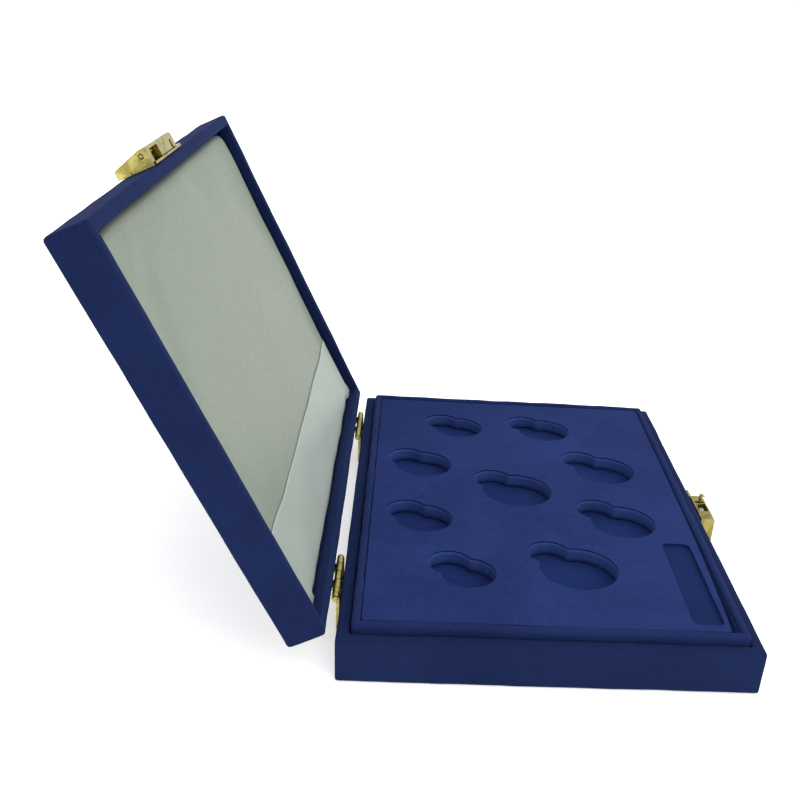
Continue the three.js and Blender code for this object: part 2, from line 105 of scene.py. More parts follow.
CLOTH_FRAMES = 18
LINING_SMOOTHING = 5  # passes that leave the padding's swell and take out its fine creases
POCKET_EDGE = -33.5
POCKET_HEM = 3.0
POCKET_CLOTH = 0.2
HEM_CLOTH = 0.3

joints = {j["name"]: j for j in frame["joints"]}
HINGE = Vector(joints["lid_hinge"]["pos_m"]) / MM
LID_OPEN = math.radians(joints["lid_hinge"]["range_deg"][1])
OPENED = (
    Matrix.Translation(HINGE) @ Matrix.Rotation(-LID_OPEN, 4, "Y") @ Matrix.Translation(-HINGE)
)


# ---- node materials ----
class Look:
    """A Principled material with a few helpers for its procedural nodes."""

    def __init__(self, name, roughness, metallic=0.0, **sockets):
        self.material = bpy.data.materials.new(name)
        self.material.use_nodes = True
        self.nodes = self.material.node_tree.nodes
        self.links = self.material.node_tree.links
        self.shader = self.nodes["Principled BSDF"]
        self.shader.inputs["Roughness"].default_value = roughness
        self.shader.inputs["Metallic"].default_value = metallic
        for socket, value in sockets.items():
            self.shader.inputs[socket.replace("_", " ")].default_value = value
        self.coordinates = self.nodes.new("ShaderNodeTexCoord").outputs["Object"]

    def link(self, source, node, socket):
        if hasattr(source, "is_output"):
            self.links.new(source, node.inputs[socket])
        else:
            node.inputs[socket].default_value = source

    def stretched(self, scale):
        mapping = self.nodes.new("ShaderNodeMapping")
        mapping.inputs["Scale"].default_value = scale
        self.links.new(self.coordinates, mapping.inputs["Vector"])
        return mapping.outputs["Vector"]

    def noise(self, scale, detail=2.0, roughness=0.5, distortion=0.0, vector=None):
        node = self.nodes.new("ShaderNodeTexNoise")
        self.links.new(vector or self.coordinates, node.inputs["Vector"])
        node.inputs["Scale"].default_value = scale
        node.inputs["Detail"].default_value = detail
        node.inputs["Roughness"].default_value = roughness
        node.inputs["Distortion"].default_value = distortion
        return node.outputs["Fac"]

    def voronoi(self, scale, feature="F1"):
        node = self.nodes.new("ShaderNodeTexVoronoi")
        node.feature = feature
        self.links.new(self.coordinates, node.inputs["Vector"])
        node.inputs["Scale"].default_value = scale
        return node.outputs["Distance"]

    def along(self, direction):
        """How far a point lies along a direction, in metres."""
        node = self.nodes.new("ShaderNodeVectorMath")
        node.operation = "DOT_PRODUCT"
        self.links.new(self.coordinates, node.inputs[0])
        node.inputs[1].default_value = direction
        return node.outputs["Value"]

    def remap(self, value, low, high, to_low=0.0, to_high=1.0):
        node = self.nodes.new("ShaderNodeMapRange")
        node.interpolation_type = "SMOOTHSTEP"
        self.links.new(value, node.inputs["Value"])
        node.inputs["From Min"].default_value = low
        node.inputs["From Max"].default_value = high
        node.inputs["To Min"].default_value = to_low
        node.inputs["To Max"].default_value = to_high
        return node.outputs["Result"]

    def math(self, operation, a, b):
        node = self.nodes.new("ShaderNodeMath")
        node.operation = operation
        self.link(a, node, 0)
        self.link(b, node, 1)
        return node.outputs["Value"]

    def mix(self, factor, a, b):
        node = self.nodes.new("ShaderNodeMix")
        node.data_type = "RGBA"
        self.link(factor, node, "Factor")
        for socket, value in ((6, a), (7, b)):
            if hasattr(value, "is_output"):
                self.links.new(value, node.inputs[socket])
            else:
                node.inputs[socket].default_value = (*value, 1)
        return node.outputs[2]

    def colour(self, value):
        self.link(value if hasattr(value, "is_output") else (*value, 1), self.shader, "Base Color")
        return self

    def rough(self, value):
        self.links.new(value, self.shader.inputs["Roughness"])
        return self

    def bump(self, *layers):
        """Each layer is (height, strength, distance in metres)."""
        normal = None
        for height, strength, distance in layers:
            node = self.nodes.new("ShaderNodeBump")
            node.inputs["Strength"].default_value = strength
            node.inputs["Distance"].default_value = distance
            self.links.new(height, node.inputs["Height"])
            if normal:
                self.links.new(normal, node.inputs["Normal"])
            normal = node.outputs["Normal"]
        self.links.new(normal, self.shader.inputs["Normal"])
        return self


def velvet(name, dark, light, sheen=0.1, specks=0.5, far_shade=1.0):
    """Short-pile velvet: nap that lies in soft patches, a fine pile, and a little lint.

    Its last argument, below 1, paints shade onto the velvet towards the far corner on the hinge side,
    beside the open lid.
    """
    look = Look(name, 0.95, Sheen_Weight=sheen, Sheen_Roughness=0.5)
    look.shader.inputs["Specular IOR Level"].default_value = 0.08
    look.shader.inputs["Sheen Tint"].default_value = (0.2, 0.32, 1.0, 1)
    patches = look.noise(24, 3, 0.55, 0.6)
    brushed = look.noise(1, 3, 0.6, 0.3, look.stretched((60, 230, 150)))
    mottle = look.noise(430, 4, 0.62, 0.4)
    pile = look.noise(2400, 3, 0.7)
    nap = look.math("ADD", look.math("MULTIPLY", patches, 0.68), look.math("MULTIPLY", brushed, 0.12))
    nap = look.math("ADD", nap, look.math("MULTIPLY", mottle, 0.35))
    body = look.mix(look.remap(nap, 0.42, 0.74), dark, light)
    # Painted shade: the velvet darkens towards the far corner on the hinge side, beside the open lid.
    if far_shade < 1:
        far_shade_share = look.remap(look.along((-1, 1, 0)), 0.03, 0.15)
        body = look.mix(far_shade_share, body, [c * far_shade for c in dark])
    body = look.mix(look.remap(pile, 0.4, 0.7, 0.0, 0.3), body, [c * 1.75 for c in light])
    near = look.remap(look.voronoi(110), 0.012, 0.026, 1.0, 0.0)
    chosen = look.remap(look.noise(160, 1), 0.54, 0.58)
    lint = look.math("MULTIPLY", look.math("MULTIPLY", near, chosen), specks)
    look.colour(look.mix(lint, body, (0.22, 0.28, 0.44)))
    look.bump((pile, 0.4, 0.00018), (mottle, 0.3, 0.0004))
    return look.material


def satin(name, shade, light, weave=0.12):
    """Woven satin: fine floats one way, with soft lustre and faint creases."""
    look = Look(name, 0.5, Sheen_Weight=0.12, Sheen_Roughness=0.35)
    look.shader.inputs["Specular IOR Level"].default_value = 0.35
    threads = look.noise(1, 2, 0.5, 0, look.stretched((420, 5200, 5200)))
    slubs = look.noise(1, 3, 0.6, 0, look.stretched((55, 900, 900)))
    cloud = look.noise(24, 2, 0.5)
    body = look.mix(look.remap(cloud, 0.35, 0.65), shade, light)
    body = look.mix(look.remap(slubs, 0.4, 0.7, 0.0, 0.1), body, [c * 0.93 for c in light])
    look.colour(body)
    look.rough(look.remap(slubs, 0.3, 0.7, 0.42, 0.56))
    creases = look.noise(38, 4, 0.6, 1.4)
    look.bump((threads, weave, 0.00005), (creases, 0.012, 0.0011))
    return look.material


def plated(name, low, high, roughness=0.27):
    """Thin bright-plated sheet: faint polishing lines, finger marks and tiny pits."""
    look = Look(name, roughness, 1.0)
    lines = look.noise(1, 2, 0.5, 0, look.stretched((300, 2600, 6500)))
    smudge = look.noise(330, 3, 0.6, 0.5)
    tarnish = look.noise(140, 3, 0.6, 0.8)
    body = look.mix(look.remap(tarnish, 0.4, 0.68), high, low)
    pits = look.remap(look.voronoi(1500), 0.07, 0.12, 1.0, 0.0)
    pits = look.math("MULTIPLY", pits, look.remap(look.noise(500, 1), 0.55, 0.62))
    look.colour(look.mix(look.math("MULTIPLY", pits, 0.4), body, [c * 0.6 for c in low]))
    look.rough(look.remap(smudge, 0.35, 0.7, roughness - 0.06, roughness + 0.14))
    look.bump((lines, 0.05, 0.00002))
    return look.material


def greyboard(name):
    """Uncoated pressed board with fibres."""
    look = Look(name, 0.9)
    fibres = look.noise(1, 4, 0.7, 0.4, look.stretched((500, 1700, 1700)))
    flecks = look.remap(look.voronoi(700), 0.1, 0.2, 1.0, 0.0)
    body = look.mix(look.remap(fibres, 0.35, 0.65), (0.22, 0.2, 0.17), (0.33, 0.31, 0.27))
    look.colour(look.mix(look.math("MULTIPLY", flecks, 0.4), body, (0.13, 0.12, 0.11)))
    look.bump((fibres, 0.3, 0.0002))
    return look.material


def foam(name):
    """Dark foam with small cells."""
    look = Look(name, 1.0)
    cells = look.voronoi(1500, "SMOOTH_F1")
    look.colour(look.mix(look.remap(cells, 0.1, 0.6), (0.015, 0.015, 0.017), (0.05, 0.05, 0.055)))
    look.bump((cells, 0.6, 0.0003))
    return look.material


# The inside velvet, with painted shade towards the far corner on the hinge side.
VELVET = velvet("velvet", (0.0101, 0.0201, 0.088), (0.015, 0.0288, 0.122), 0.02, far_shade=0.85)
# Velvet for the case's outside, darker than the inside velvet: its darkness is painted shade for the outer
# walls.
VELVET_OUTSIDE_SHADE = velvet("velvet_outside_painted_shade", (0.0055, 0.0122, 0.049), (0.0076, 0.0158, 0.062), 0.04, 0.3)
# A darker copy of the inside velvet for the collar: painted shade on its near band and ridge.
VELVET_COLLAR_SHADE = velvet("velvet_collar_painted_shade", (0.0074, 0.0152, 0.063), (0.0109, 0.0215, 0.086), 0.03)
# A lighter copy of the velvet for recess walls and groove walls: painted light on walls that lie in shade.
VELVET_WALL_LIGHT = velvet("velvet_wall_painted_light", (0.0235, 0.0465, 0.168), (0.0325, 0.063, 0.222), 0.05, 0.3)
# A darker copy of the velvet for the recess floors and covered boards: painted shade.
VELVET_FLOOR_SHADE = velvet("velvet_recess_painted_shade", (0.0068, 0.0163, 0.078), (0.0099, 0.0225, 0.105), 0.03, 0.3)
# A darker copy still, for the plaque recess and the fine line under each recess rim: painted shade.
VELVET_PLAQUE_SHADE = velvet("velvet_plaque_painted_shade", (0.0052, 0.0127, 0.061), (0.0076, 0.0176, 0.082), 0.03, 0.3)
SATIN = satin("lining_satin", (0.187, 0.22, 0.174), (0.195, 0.23, 0.182), 0.04)
# The pocket's satin is lighter than the lining's, and its colour is raised further as painted light on the
# pocket band.
POCKET = satin("pocket_satin", (0.302, 0.349, 0.309), (0.315, 0.363, 0.323), 0.05)
BRASS = plated("brass", (0.3, 0.255, 0.065), (0.5, 0.44, 0.135), 0.25)
# A darker copy of the brass for the catch on the base: painted shade, as on a part turned from the light.
BRASS_CATCH_SHADE = plated("brass_catch_painted_shade", (0.215, 0.183, 0.05), (0.36, 0.317, 0.105), 0.25)
STEEL = plated("steel", (0.42, 0.41, 0.38), (0.62, 0.61, 0.58), 0.3)
BOARD = greyboard("board")
FOAM = foam("foam")


# ---- mesh helpers ----
def finish_piece(name, bm, material, body, replaced=(), opened=False, smooth=True, others=()):
    """Turns a bmesh in millimetres into a piece in metres that rides on a body."""
    bmesh.ops.remove_doubles(bm, verts=bm.verts, dist=1e-4)
    bmesh.ops.recalc_face_normals(bm, faces=bm.faces)
    matrix = Matrix.Scale(MM, 4) @ (OPENED if opened else Matrix.Identity(4))
    bm.transform(matrix)
    mesh = bpy.data.meshes.new(name)
    bm.to_mesh(mesh)
    bm.free()
    for polygon in mesh.polygons:
        polygon.use_smooth = smooth
    for one in (material, *others):
        mesh.materials.append(one)
    piece = bpy.data.objects.new(name, mesh)
    bpy.context.scene.collection.objects.link(piece)
    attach(piece, body)
    if replaced:
        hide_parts(*replaced)
    return piece


def rounded_loop(x0, x1, y0, y1, radius, nx, ny, k=6):
    """Points round a rectangle with rounded corners, the same number for any size."""
    corners = [
        (x1 - radius, y0 + radius, -90),
        (x1 - radius, y1 - radius, 0),
        (x0 + radius, y1 - radius, 90),
        (x0 + radius, y0 + radius, 180),
    ]

    def on_corner(i, share):
        cx, cy, start = corners[i]
        angle = math.radians(start + 90 * share)
        return Vector((cx + radius * math.cos(angle), cy + radius * math.sin(angle)))

    points = []
    for i in range(4):
        points += [on_corner(i, j / k) for j in range(k + 1)]
        a, b = points[-1], on_corner((i + 1) % 4, 0)
        n = nx if i % 2 else ny
        points += [a.lerp(b, m / n) for m in range(1, n)]
    return points


def inset_loop(half_x, half_y, inset, radius, nx, ny, k=6):
    """A rounded rectangle about the origin, drawn in by inset."""
    x, y = half_x - inset, half_y - inset
    return rounded_loop(-x, x, -y, y, max(radius - inset, 0.35), nx, ny, k)


def add_rings(bm, rings, closed):
    """Quads between loops of 3-D points. closed joins the last ring to the first."""
    made = [[bm.verts.new(p) for p in ring] for ring in rings]
    pairs = zip(made, made[1:] + made[:1]) if closed else zip(made, made[1:])
    for a, b in pairs:
        n = len(a)
        for i in range(n):
            bm.faces.new((a[i], a[(i + 1) % n], b[(i + 1) % n], b[i]))
    return made


def add_slab(bm, face, back, nx, ny):
    """Joins two grids of points, keyed by column and row, into a closed slab. Returns its rim's keys."""
    for j in range(ny):
        for i in range(nx):
            square = [(i, j), (i + 1, j), (i + 1, j + 1), (i, j + 1)]
            bm.faces.new([face[k] for k in reversed(square)])
            bm.faces.new([back[k] for k in square])
    rim = [(i, 0) for i in range(nx)] + [(nx, j) for j in range(ny)]
    rim += [(i, ny) for i in range(nx, 0, -1)] + [(0, j) for j in range(ny, 0, -1)]
    for a, b in zip(rim, rim[1:] + rim[:1]):
        bm.faces.new((face[a], face[b], back[b], back[a]))
    return rim


def add_sheet(bm, loops, z, spacing, keep):
    """A flat triangulated sheet at height z, bounded by loops, with a grid of points where keep() says."""
    points, edges = [], []
    for loop in loops:
        start = len(points)
        points += [Vector(p) for p in loop]
        edges += [(start + i, start + (i + 1) % len(loop)) for i in range(len(loop))]
    if spacing:
        xs = [p[0] for p in loops[0]]
        ys = [p[1] for p in loops[0]]
        rows = int((max(ys) - min(ys)) / (spacing * 0.866))
        for row in range(1, rows):
            y = min(ys) + row * spacing * 0.866
            x = min(xs) + spacing * (0.5 if row % 2 else 1.0)
            while x < max(xs) - spacing * 0.4:
                if keep(x, y):
                    points.append(Vector((x, y)))
                x += spacing
    found = geometry.delaunay_2d_cdt(points, edges, [], 1, 1e-5)
    verts = [bm.verts.new((p[0], p[1], z)) for p in found[0]]
    for face in found[2]:
        centre = sum((found[0][i] for i in face), Vector((0, 0))) / len(face)
        if not any(inside(centre, loop) for loop in loops[1:]):
            bm.faces.new([verts[i] for i in face])
    for v in verts:
        if not v.link_faces:
            bm.verts.remove(v)


def inside(point, loop):
    """Whether a point lies within a closed loop."""
    count = 0
    for (ax, ay), (bx, by) in zip(loop, [*loop[1:], loop[0]]):
        if (ay > point.y) != (by > point.y):
            count += point.x < ax + (point.y - ay) / (by - ay) * (bx - ax)
    return count % 2 == 1


def ring_profile(profile, half_x, half_y, radius, nx, ny):
    """A closed cross-section of (inset, z) points carried round a rounded rectangle."""
    bm = bmesh.new()
    rings = []
    for inset, z in profile:
        loop = inset_loop(half_x, half_y, inset, radius, nx, ny)
        rings.append([(p[0], p[1], z) for p in loop])
    add_rings(bm, rings, True)
    return bm


def waver(bm, amount, size, seed, where=None):
    """Moves points along their normals by smooth noise, as cloth glued over board lies."""
    bm.normal_update()
    offset = Vector((seed * 17.3, seed * 5.1, seed * 9.7))
    for v in bm.verts:
        share = where(v.co) if where else 1.0
        if share > 0:
            wave = noise.noise(v.co / size + offset) + 0.45 * noise.noise(v.co / (size * 0.4) + offset)
            v.co += v.normal * (amount * share * wave)


# ---- base ----
def base_cover():
    """The velvet over the base walls' outer faces and tops, turned in under the base."""
    profile = [
        (5.6, 0.1), (3.4, 0.1), (1.0, 0.1), (0.35, 0.16), (0.07, 0.4), (0, 0.9), (0, 3.2), (0, 5.6), (0, 8),
        (0, 10.4), (0, 12.4), (0, 13.7), (0.1, 14.25), (0.35, 14.66), (0.75, 14.92), (1.25, 15), (2, 15),
        (2.8, 15), (3.4, 14.97), (3.78, 14.82), (3.96, 14.45), (4, 13.9), (4, 12.6), (3.6, 12.6),
        (3.5, 14.2), (3.3, 14.35), (1.3, 14.35), (0.7, 13.7), (0.66, 1.3), (1.3, 0.66), (5.6, 0.66),
    ]
    bm = ring_profile(profile, HALF_X, HALF_Y, CORNER, 72, 104)
    waver(bm, 0.16, 16, 1)
    for v in bm.verts:
        v.co.z = max(v.co.z, 0.02)
    finish_piece("base_cover", bm, VELVET_OUTSIDE_SHADE, "base", ["base_velvet_cover"])


def base_underside():
    """The sheet glued under the base."""
    bm = bmesh.new()
    loop = inset_loop(HALF_X, HALF_Y, 5.9, 8, 6, 8)
    rings = [[(p[0], p[1], z) for p in loop] for z in (0.45, 0.0)]
    add_rings(bm, rings, False)
    for z in (0.45, 0.0):
        add_sheet(bm, [loop], z, 0, None)
    finish_piece("base_underside_felt", bm, VELVET_OUTSIDE_SHADE, "base", ["base_underside_sheet"],
                 smooth=False)


def collar():
    """The velvet over the collar strips that the lid locates on."""
    profile = [
        (0.05, COLLAR_BOTTOM), (0, 9), (0, 12.5), (0, 14.4), (0, 15.6), (0, 16.7), (0.08, 17.3),
        (0.3, 17.75), (0.7, 18.03), (1.15, 18.12), (1.65, 18.12), (2.1, 18.03), (2.5, 17.75), (2.72, 17.3),
        (2.8, 16.7), (2.8, 15.4), (2.8, 12), (2.75, COLLAR_BOTTOM), (2.3, COLLAR_BOTTOM), (2.3, 16.9),
        (1.9, 17.4), (0.9, 17.4), (0.5, 16.9), (0.5, COLLAR_BOTTOM),
    ]
    bm = ring_profile(profile, COLLAR_X, COLLAR_Y, 1.3, 84, 120)
    waver(bm, 0.2, 9, 2, lambda p: min(1, max(0, (p.z - 9) / 6)))
    for v in bm.verts:
        if v.co.z > 12:
            v.co.z += 0.14 * noise.noise(Vector((v.co.x / 14, v.co.y / 14, 3.1)))
    inner_x, inner_y = COLLAR_X - COLLAR_WIDTH, COLLAR_Y - COLLAR_WIDTH
    # The inner walls down in the groove on the clasp and far sides take the lighter wall velvet: painted
    # light against the groove's shade.
    for face in bm.faces:
        x, y, z = face.calc_center_median()
        on_inner_wall = abs(x) < inner_x + 0.3 and abs(y) < inner_y + 0.3
        if z < 16.9 and on_inner_wall and (x > inner_x - 0.1 or y > inner_y - 0.1):
            face.material_index = 1
    finish_piece("collar_cover", bm, VELVET_COLLAR_SHADE, "base", ["collar_velvet_cover"],
                 others=[VELVET_WALL_LIGHT])


def disc_pair(coin, grow, n=40):
    """The outline of a coin recess joined to its finger notch, both grown by the same amount."""
    x, y, radius, dx, dy = coin
    a, b = Vector((x, y)), Vector((x + dx, y + dy))
    ra, rb = radius + grow, NOTCH_RADIUS + grow
    apart = (b - a).length
    towards = math.atan2(dy, dx)
    cut_a = math.acos((apart**2 + ra**2 - rb**2) / (2 * apart * ra))
    cut_b = math.acos((apart**2 + rb**2 - ra**2) / (2 * apart * rb))
    points = []
    for i in range(n):
        t = towards + cut_a + (2 * math.pi - 2 * cut_a) * i / n
        points.append((a.x + ra * math.cos(t), a.y + ra * math.sin(t)))
    m = n // 2 + 6
    for i in range(m):
        t = towards + math.pi + cut_b + (2 * math.pi - 2 * cut_b) * i / m
        points.append((b.x + rb * math.cos(t), b.y + rb * math.sin(t)))
    return points


def clasp_edge(y):
    """The insert's edge on the clasp side, which draws away from the collar towards the near corner."""
    near, far = PANEL_CLASP_EDGE
    share = (PANEL[2] - y) / (PANEL[2] - PANEL[1])
    return far - (far - near) * max(0.0, share) ** 4


def panel_outline(inset):
    """The insert's outline, drawn in by inset."""
    x0, y0, y1 = PANEL
    far = PANEL_CLASP_EDGE[1]
    radius = max(1.3 - inset, 0.5)
    loop = rounded_loop(x0 + inset, far - inset, y0 + inset, y1 - inset, radius, 40, 60, 5)
    return [(p.x - max(0, (p.x - x0) / (far - x0)) * (far - clasp_edge(p.y)), p.y) for p in loop]


UNDERCUT = 1.0  # the panel's foot is set back, so a dark line shows where it meets the floor
FOOT = PANEL_BOTTOM + 0.26
LIP = (17.2, 17.5)  # a fine line pressed round each recess just under its rim: bottom, top
LIP_DEPTH = 0.35
EDGE_FOOT = [(UNDERCUT, PANEL_BOTTOM), (UNDERCUT, FOOT), (0.2, FOOT + 0.04), (0, FOOT + 0.23)]
EDGE = [
    *EDGE_FOOT, (0, 14.4), (0, 15.9), (0, LIP[0] - 0.04), (LIP_DEPTH, LIP[0]),
    (LIP_DEPTH, LIP[1] - 0.04), (0, LIP[1]), (0.03, 17.64), (0.15, PANEL_TOP),
]
EDGE_END = 0.4
OUTER_EDGE = [*EDGE_FOOT, (0, 15.4), (0, 17.0), (0.02, 17.42), (0.1, 17.6), (0.26, 17.69)]
OUTER_END = 0.45
GRID_CLEAR = 1.8  # between the top's grid of points and any edge
CREASES = [  # faint folds pressed into the velvet: two points, depth
    ((-57, 27.5), (-47, 24.5), 0.16),
    ((-57, -16.5), (-47, -18.5), 0.16),
    ((-29, 17.5), (-17, 11.5), 0.07),
    ((-29, -24), (-18, -27), 0.06),
    ((51, -29.5), (56, -32), 0.2),
    ((-50, -70), (-34, -66), 0.06),
]


def crease(x, y):
    """How far the faint folds lower the velvet at a point."""
    total = 0.0
    for (ax, ay), (bx, by), depth in CREASES:
        d = Vector((bx - ax, by - ay))
        t = max(0.0, min(1.0, (Vector((x - ax, y - ay)) @ d) / d.length_squared))
        gap = (Vector((x, y)) - Vector((ax, ay)) - d * t).length
        total -= depth * math.exp(-((gap / 1.1) ** 2)) * math.sin(math.pi * min(1, 0.12 + t * 0.88))
    return total


def insert_panel():
    """The velvet-laminated board with its coin recesses and plaque recess."""
    bm = bmesh.new()
    x0, x1, y0, y1, floor = PLAQUE
    inner = [*EDGE, (EDGE_END, PANEL_TOP)]
    for coin in COIN_RECESSES:
        add_rings(bm, [[(*p, z) for p in disc_pair(coin, d)] for d, z in inner], False)
    outer = [*OUTER_EDGE, (OUTER_END, PANEL_TOP)]
    add_rings(bm, [[(*p, z) for p in panel_outline(d)] for d, z in outer], False)

    def plaque_loop(grow):
        return rounded_loop(x0 - grow, x1 + grow, y0 - grow, y1 + grow, 2.2 + grow, 8, 34, 6)

    rings = [(-0.5, floor), (-0.12, floor + 0.06), (0, floor + 0.3), (0, 17.2), (0.02, 17.5), (0.08, 17.64),
             (0.2, PANEL_TOP), (EDGE_END, PANEL_TOP)]
    add_rings(bm, [[(*p, z) for p in plaque_loop(d)] for d, z in rings], False)

    def in_plaque_recess(x, y, margin):
        return x0 - margin < x < x1 + margin and y0 - margin < y < y1 + margin

    add_sheet(bm, [plaque_loop(-0.5)], floor, 1.8, lambda x, y: in_plaque_recess(x, y, -1.2))

    def on_top(x, y):
        clear = GRID_CLEAR
        if in_plaque_recess(x, y, clear):
            return False
        across = PANEL[0] + clear < x < clasp_edge(y) - clear
        if not (across and PANEL[1] + clear < y < PANEL[2] - clear):
            return False
        return all(
            math.hypot(x - cx, y - cy) > r + clear
            and math.hypot(x - cx - dx, y - cy - dy) > NOTCH_RADIUS + clear
            for cx, cy, r, dx, dy in COIN_RECESSES
        )

    recesses = [disc_pair(coin, EDGE_END) for coin in COIN_RECESSES]
    loops = [panel_outline(OUTER_END), *recesses, plaque_loop(EDGE_END)]
    add_sheet(bm, loops, PANEL_TOP, 1.7, on_top)
    loops = [panel_outline(UNDERCUT), *(disc_pair(c, UNDERCUT) for c in COIN_RECESSES)]
    add_sheet(bm, loops, PANEL_BOTTOM, 0, None)
    bmesh.ops.remove_doubles(bm, verts=bm.verts, dist=1e-4)
    for face in bm.faces:
        x, y, z = face.calc_center_median()
        in_plaque = in_plaque_recess(x, y, 0.4)
        within = abs(x) < 55 and abs(y) < 85
        on_clasp_edge = x > clasp_edge(y) - 0.1
        # The plaque recess takes the darker plaque velvet: painted shade.
        if in_plaque and z < 17.5:
            face.material_index = 2
        # Recess walls and the clasp-side edge take the lighter wall velvet: painted light.
        elif (within or on_clasp_edge) and FOOT + 0.02 < z < LIP[0] - 0.04:
            face.material_index = 1
        # The fine line under each rim takes the darker plaque velvet: painted shade.
        elif within and FOOT + 0.02 < z < LIP[1] - 0.03:
            face.material_index = 2
    for v in bm.verts:
        if v.co.z > 17:
            swell = noise.noise(Vector((v.co.x / 30, v.co.y / 30, 7.7)))
            ripple = noise.noise(Vector((v.co.x / 7, v.co.y / 7, 2.2)))
            v.co.z += 0.16 * swell + 0.035 * ripple + crease(v.co.x, v.co.y)
        elif FOOT - 0.02 < v.co.z < FOOT + 0.28:
            v.co.z += 0.2 * noise.noise(Vector((v.co.x / 5, v.co.y / 5, 4.4)))
    finish_piece("insert_velvet_panel", bm, VELVET, "base", ["insert_panel"],
                 others=[VELVET_WALL_LIGHT, VELVET_PLAQUE_SHADE])


# ---- lid ----
def lid_cover():
    """The velvet over the lid's top and walls, turned in round the rim."""
    bm = bmesh.new()
    top, rim = LID_TOP, LID_RIM
    outer = [
        (4.5, top), (2.6, top), (1.5, top - 0.02), (0.8, top - 0.16), (0.3, top - 0.52), (0.06, top - 1),
        (0, top - 1.7), (0, 24.8), (0, 22.8), (0, 20.8), (0, 18.8), (0, 17.2), (0.08, rim + 0.75),
        (0.32, rim + 0.34), (0.72, rim + 0.08), (1.25, rim), (2, rim), (2.8, rim), (3.35, rim + 0.05),
        (3.75, rim + 0.22), (3.95, rim + 0.6), (4, rim + 1.3), (4, rim + 2.8), (4, 20.9), (3.45, 20.9),
        (3.4, rim + 1.3), (3.2, rim + 0.62), (1.2, rim + 0.62), (0.68, rim + 1.3), (0.66, top - 1.7),
        (1.2, top - 0.66), (4.5, top - 0.66),
    ]
    rings = [[(p[0], p[1], z) for p in inset_loop(HALF_X, HALF_Y, d, CORNER, 72, 104)] for d, z in outer]
    add_rings(bm, rings, False)
    cap = inset_loop(HALF_X, HALF_Y, 4.5, CORNER, 72, 104)
    hx, hy = HALF_X - 6.2, HALF_Y - 6.2
    add_sheet(bm, [cap], top, 3.2, lambda x, y: abs(x) < hx and abs(y) < hy)
    add_sheet(bm, [cap], top - 0.66, 0, None)
    bmesh.ops.remove_doubles(bm, verts=bm.verts, dist=1e-4)
    waver(bm, 0.16, 17, 4)
    finish_piece("lid_cover", bm, VELVET_OUTSIDE_SHADE, "lid", ["lid_velvet_cover"], True)


def lining_shape(x, y):
    """Height of the lining's face before it is puffed: round at the edges, with a wavy outline."""
    wob = 0.55 * noise.noise(Vector((x / 13, y / 13, 5.0)))
    edge = min(LINING_X - abs(x), LINING_Y - abs(y)) + wob
    corner = math.hypot(max(0, abs(x) - LINING_X + 6), max(0, abs(y) - LINING_Y + 6))
    edge = min(edge, 6.2 - corner + wob)
    fall = max(0.0, 1 - max(0.0, edge) / LINING_FALL)
    return LINING_FACE + (LINING_BACK - LINING_FACE) * fall**2.2


def puffed_lining():
    """A thin pad of satin over wadding: cloth blown up a little inside its frame, pinned behind."""
    nx, ny = 50, 74
    bm = bmesh.new()
    grid = {}
    for j in range(ny + 1):
        for i in range(nx + 1):
            u, v = i / nx * 2 - 1, j / ny * 2 - 1
            x = LINING_X * (u * 0.72 + 0.28 * math.sin(u * math.pi / 2))
            y = LINING_Y * (v * 0.8 + 0.2 * math.sin(v * math.pi / 2))
            corner = 2.6 * (abs(u) * abs(v)) ** 12
            wave_x = 0.3 + 0.45 * noise.noise(Vector((y / 17, u, 6.6)))
            wave_y = 0.45 + 0.6 * noise.noise(Vector((x / 17, v, 9.1)))
            x -= math.copysign(corner + wave_x * abs(u) ** 8, u)
            y -= math.copysign(corner + wave_y * abs(v) ** 8, v)
            grid[i, j] = (x, y)
    face = {k: bm.verts.new((x, y, lining_shape(x, y))) for k, (x, y) in grid.items()}
    back = {k: bm.verts.new((x, y, LINING_BACK + 0.25)) for k, (x, y) in grid.items()}
    rim = add_slab(bm, face, back, nx, ny)
    bm.verts.index_update()
    pinned = [back[k].index for k in back] + [face[k].index for k in set(rim)]
    piece = finish_piece("lid_lining", bm, SATIN, "lid", ["lid_lining_pad"], True)
    puff(piece, pinned)
    return piece


def puff(piece, pinned):
    """Cloth under light pressure; the result is capped and kept on the mesh."""
    rest = [v.co.copy() for v in piece.data.vertices]
    group = piece.vertex_groups.new(name="pin")
    group.add(pinned, 1.0, "REPLACE")
    cloth = piece.modifiers.new("cloth", "CLOTH")
    settings = cloth.settings
    settings.quality = 5
    settings.mass = 0.15
    settings.tension_stiffness = 12
    settings.compression_stiffness = 12
    settings.bending_stiffness = 0.3
    settings.vertex_group_mass = "pin"
    settings.use_pressure = True
    settings.uniform_pressure_force = 1.6
    settings.shrink_min = -0.02
    settings.effector_weights.gravity = 0
    cloth.collision_settings.use_collision = False
    scene = bpy.context.scene
    for step in range(1, CLOTH_FRAMES + 1):
        scene.frame_set(step)
    bpy.context.view_layer.update()
    result = piece.evaluated_get(bpy.context.evaluated_depsgraph_get()).to_mesh()
    moved = [v.co.copy() for v in result.vertices]
    piece.modifiers.remove(cloth)
    scene.frame_set(1)
    outward = OPENED.to_3x3() @ Vector((0, 0, -1))
    limit = LINING_SWELL * MM
    rises = []
    for before, after in zip(rest, moved):
        rises.append(max(-LINING_SINK * MM, min(limit, (after - before).dot(outward))))
    fixed = set(pinned)
    linked = [[] for _ in rises]
    for edge in piece.data.edges:
        a, b = edge.vertices
        linked[a].append(b)
        linked[b].append(a)
    for _ in range(LINING_SMOOTHING):
        rises = [
            rise if i in fixed else 0.4 * rise + 0.6 * sum(rises[n] for n in linked[i]) / len(linked[i])
            for i, rise in enumerate(rises)
        ]
    for v, before, rise in zip(piece.data.vertices, rest, rises):
        v.co = before + outward * rise
    piece.data.update()


